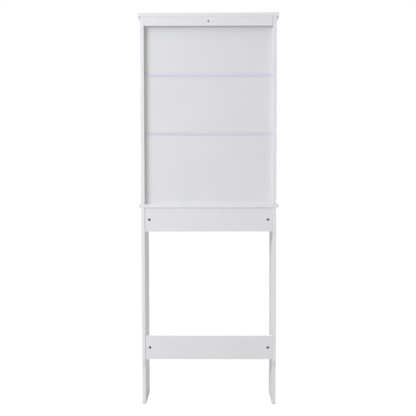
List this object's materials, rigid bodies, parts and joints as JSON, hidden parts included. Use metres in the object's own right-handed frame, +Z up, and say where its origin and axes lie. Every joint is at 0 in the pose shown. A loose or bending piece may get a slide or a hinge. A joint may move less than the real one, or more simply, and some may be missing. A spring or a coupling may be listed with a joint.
{
  "type": "over-toilet storage rack",
  "caption": "Tall free-standing rack on two leg panels that straddle a toilet, with an open shelved case above and notches at the foot for a skirting board.",
  "frame": {"origin": "on the floor, under the middle of the rack's outline", "axes": "+Z up; +Y towards the wall behind the rack; -Y is the open front; +X is the right-hand side for someone in front of it"},
  "size_m": [0.6, 0.21, 1.688],
  "materials": {
    "white_board": "white satin foil on fibreboard, lightly eased edges",
    "white_sheet": "white faced hardboard, satin",
    "joint_strip_pvc": "translucent bluish-white extruded PVC",
    "zinc_alloy": "die-cast zinc",
    "dark_zinc": "dark passivated zinc",
    "zinc_plated_steel": "zinc plated",
    "beech": "bare turned beech"
  },
  "bodies": {
    "rack": {"top_board": "white_board", "middle_board": "white_board", "left_side_panel": "white_board", "right_side_panel": "white_board", "left_leg_panel": "white_board", "right_leg_panel": "white_board", "top_rear_rail": "white_board", "rear_apron": "white_board", "lower_rear_stretcher": "white_board", "fixed_shelf": "white_board", "back_panel_lower": "white_sheet", "back_panel_middle": "white_sheet", "back_panel_upper": "white_sheet", "lower_joint_strip": "joint_strip_pvc", "upper_joint_strip": "joint_strip_pvc", "top_cam_lock_left_front": "zinc_alloy", "lower_cam_lock_left_front": "zinc_alloy", "leg_cam_lock_left_front": "zinc_alloy", "top_cam_bolt_left_front": "zinc_plated_steel", "double_cam_bolt_left_front": "zinc_plated_steel", "shelf_screw_left_front": "zinc_plated_steel", "shelf_pin_left_front": "zinc_plated_steel", "top_cam_lock_left_rear": "zinc_alloy", "lower_cam_lock_left_rear": "zinc_alloy", "leg_cam_lock_left_rear": "zinc_alloy", "top_cam_bolt_left_rear": "zinc_plated_steel", "double_cam_bolt_left_rear": "zinc_plated_steel", "shelf_screw_left_rear": "zinc_plated_steel", "shelf_pin_left_rear": "zinc_plated_steel", "apron_bolt_left": "zinc_plated_steel", "apron_barrel_nut_left": "dark_zinc", "apron_dowel_left": "beech", "stretcher_bolt_left": "zinc_plated_steel", "stretcher_barrel_nut_left": "dark_zinc", "stretcher_dowel_left": "beech", "top_rail_screw_left": "zinc_plated_steel", "top_cam_lock_right_front": "zinc_alloy", "lower_cam_lock_right_front": "zinc_alloy", "leg_cam_lock_right_front": "zinc_alloy", "top_cam_bolt_right_front": "zinc_plated_steel", "double_cam_bolt_right_front": "zinc_plated_steel", "shelf_screw_right_front": "zinc_plated_steel", "shelf_pin_right_front": "zinc_plated_steel", "top_cam_lock_right_rear": "zinc_alloy", "lower_cam_lock_right_rear": "zinc_alloy", "leg_cam_lock_right_rear": "zinc_alloy", "top_cam_bolt_right_rear": "zinc_plated_steel", "double_cam_bolt_right_rear": "zinc_plated_steel", "shelf_screw_right_rear": "zinc_plated_steel", "shelf_pin_right_rear": "zinc_plated_steel", "apron_bolt_right": "zinc_plated_steel", "apron_barrel_nut_right": "dark_zinc", "apron_dowel_right": "beech", "stretcher_bolt_right": "zinc_plated_steel", "stretcher_barrel_nut_right": "dark_zinc", "stretcher_dowel_right": "beech", "top_rail_screw_right": "zinc_plated_steel"},
    "adjustable_shelf": {"adjustable_shelf": "white_board"}
  },
  "joints": [
    {"name": "adjustable_shelf_slide", "type": "slide", "parent": "rack", "child": "adjustable_shelf", "axis": [0, -1, 0], "range_m": [0, 0.178]}
  ]
}
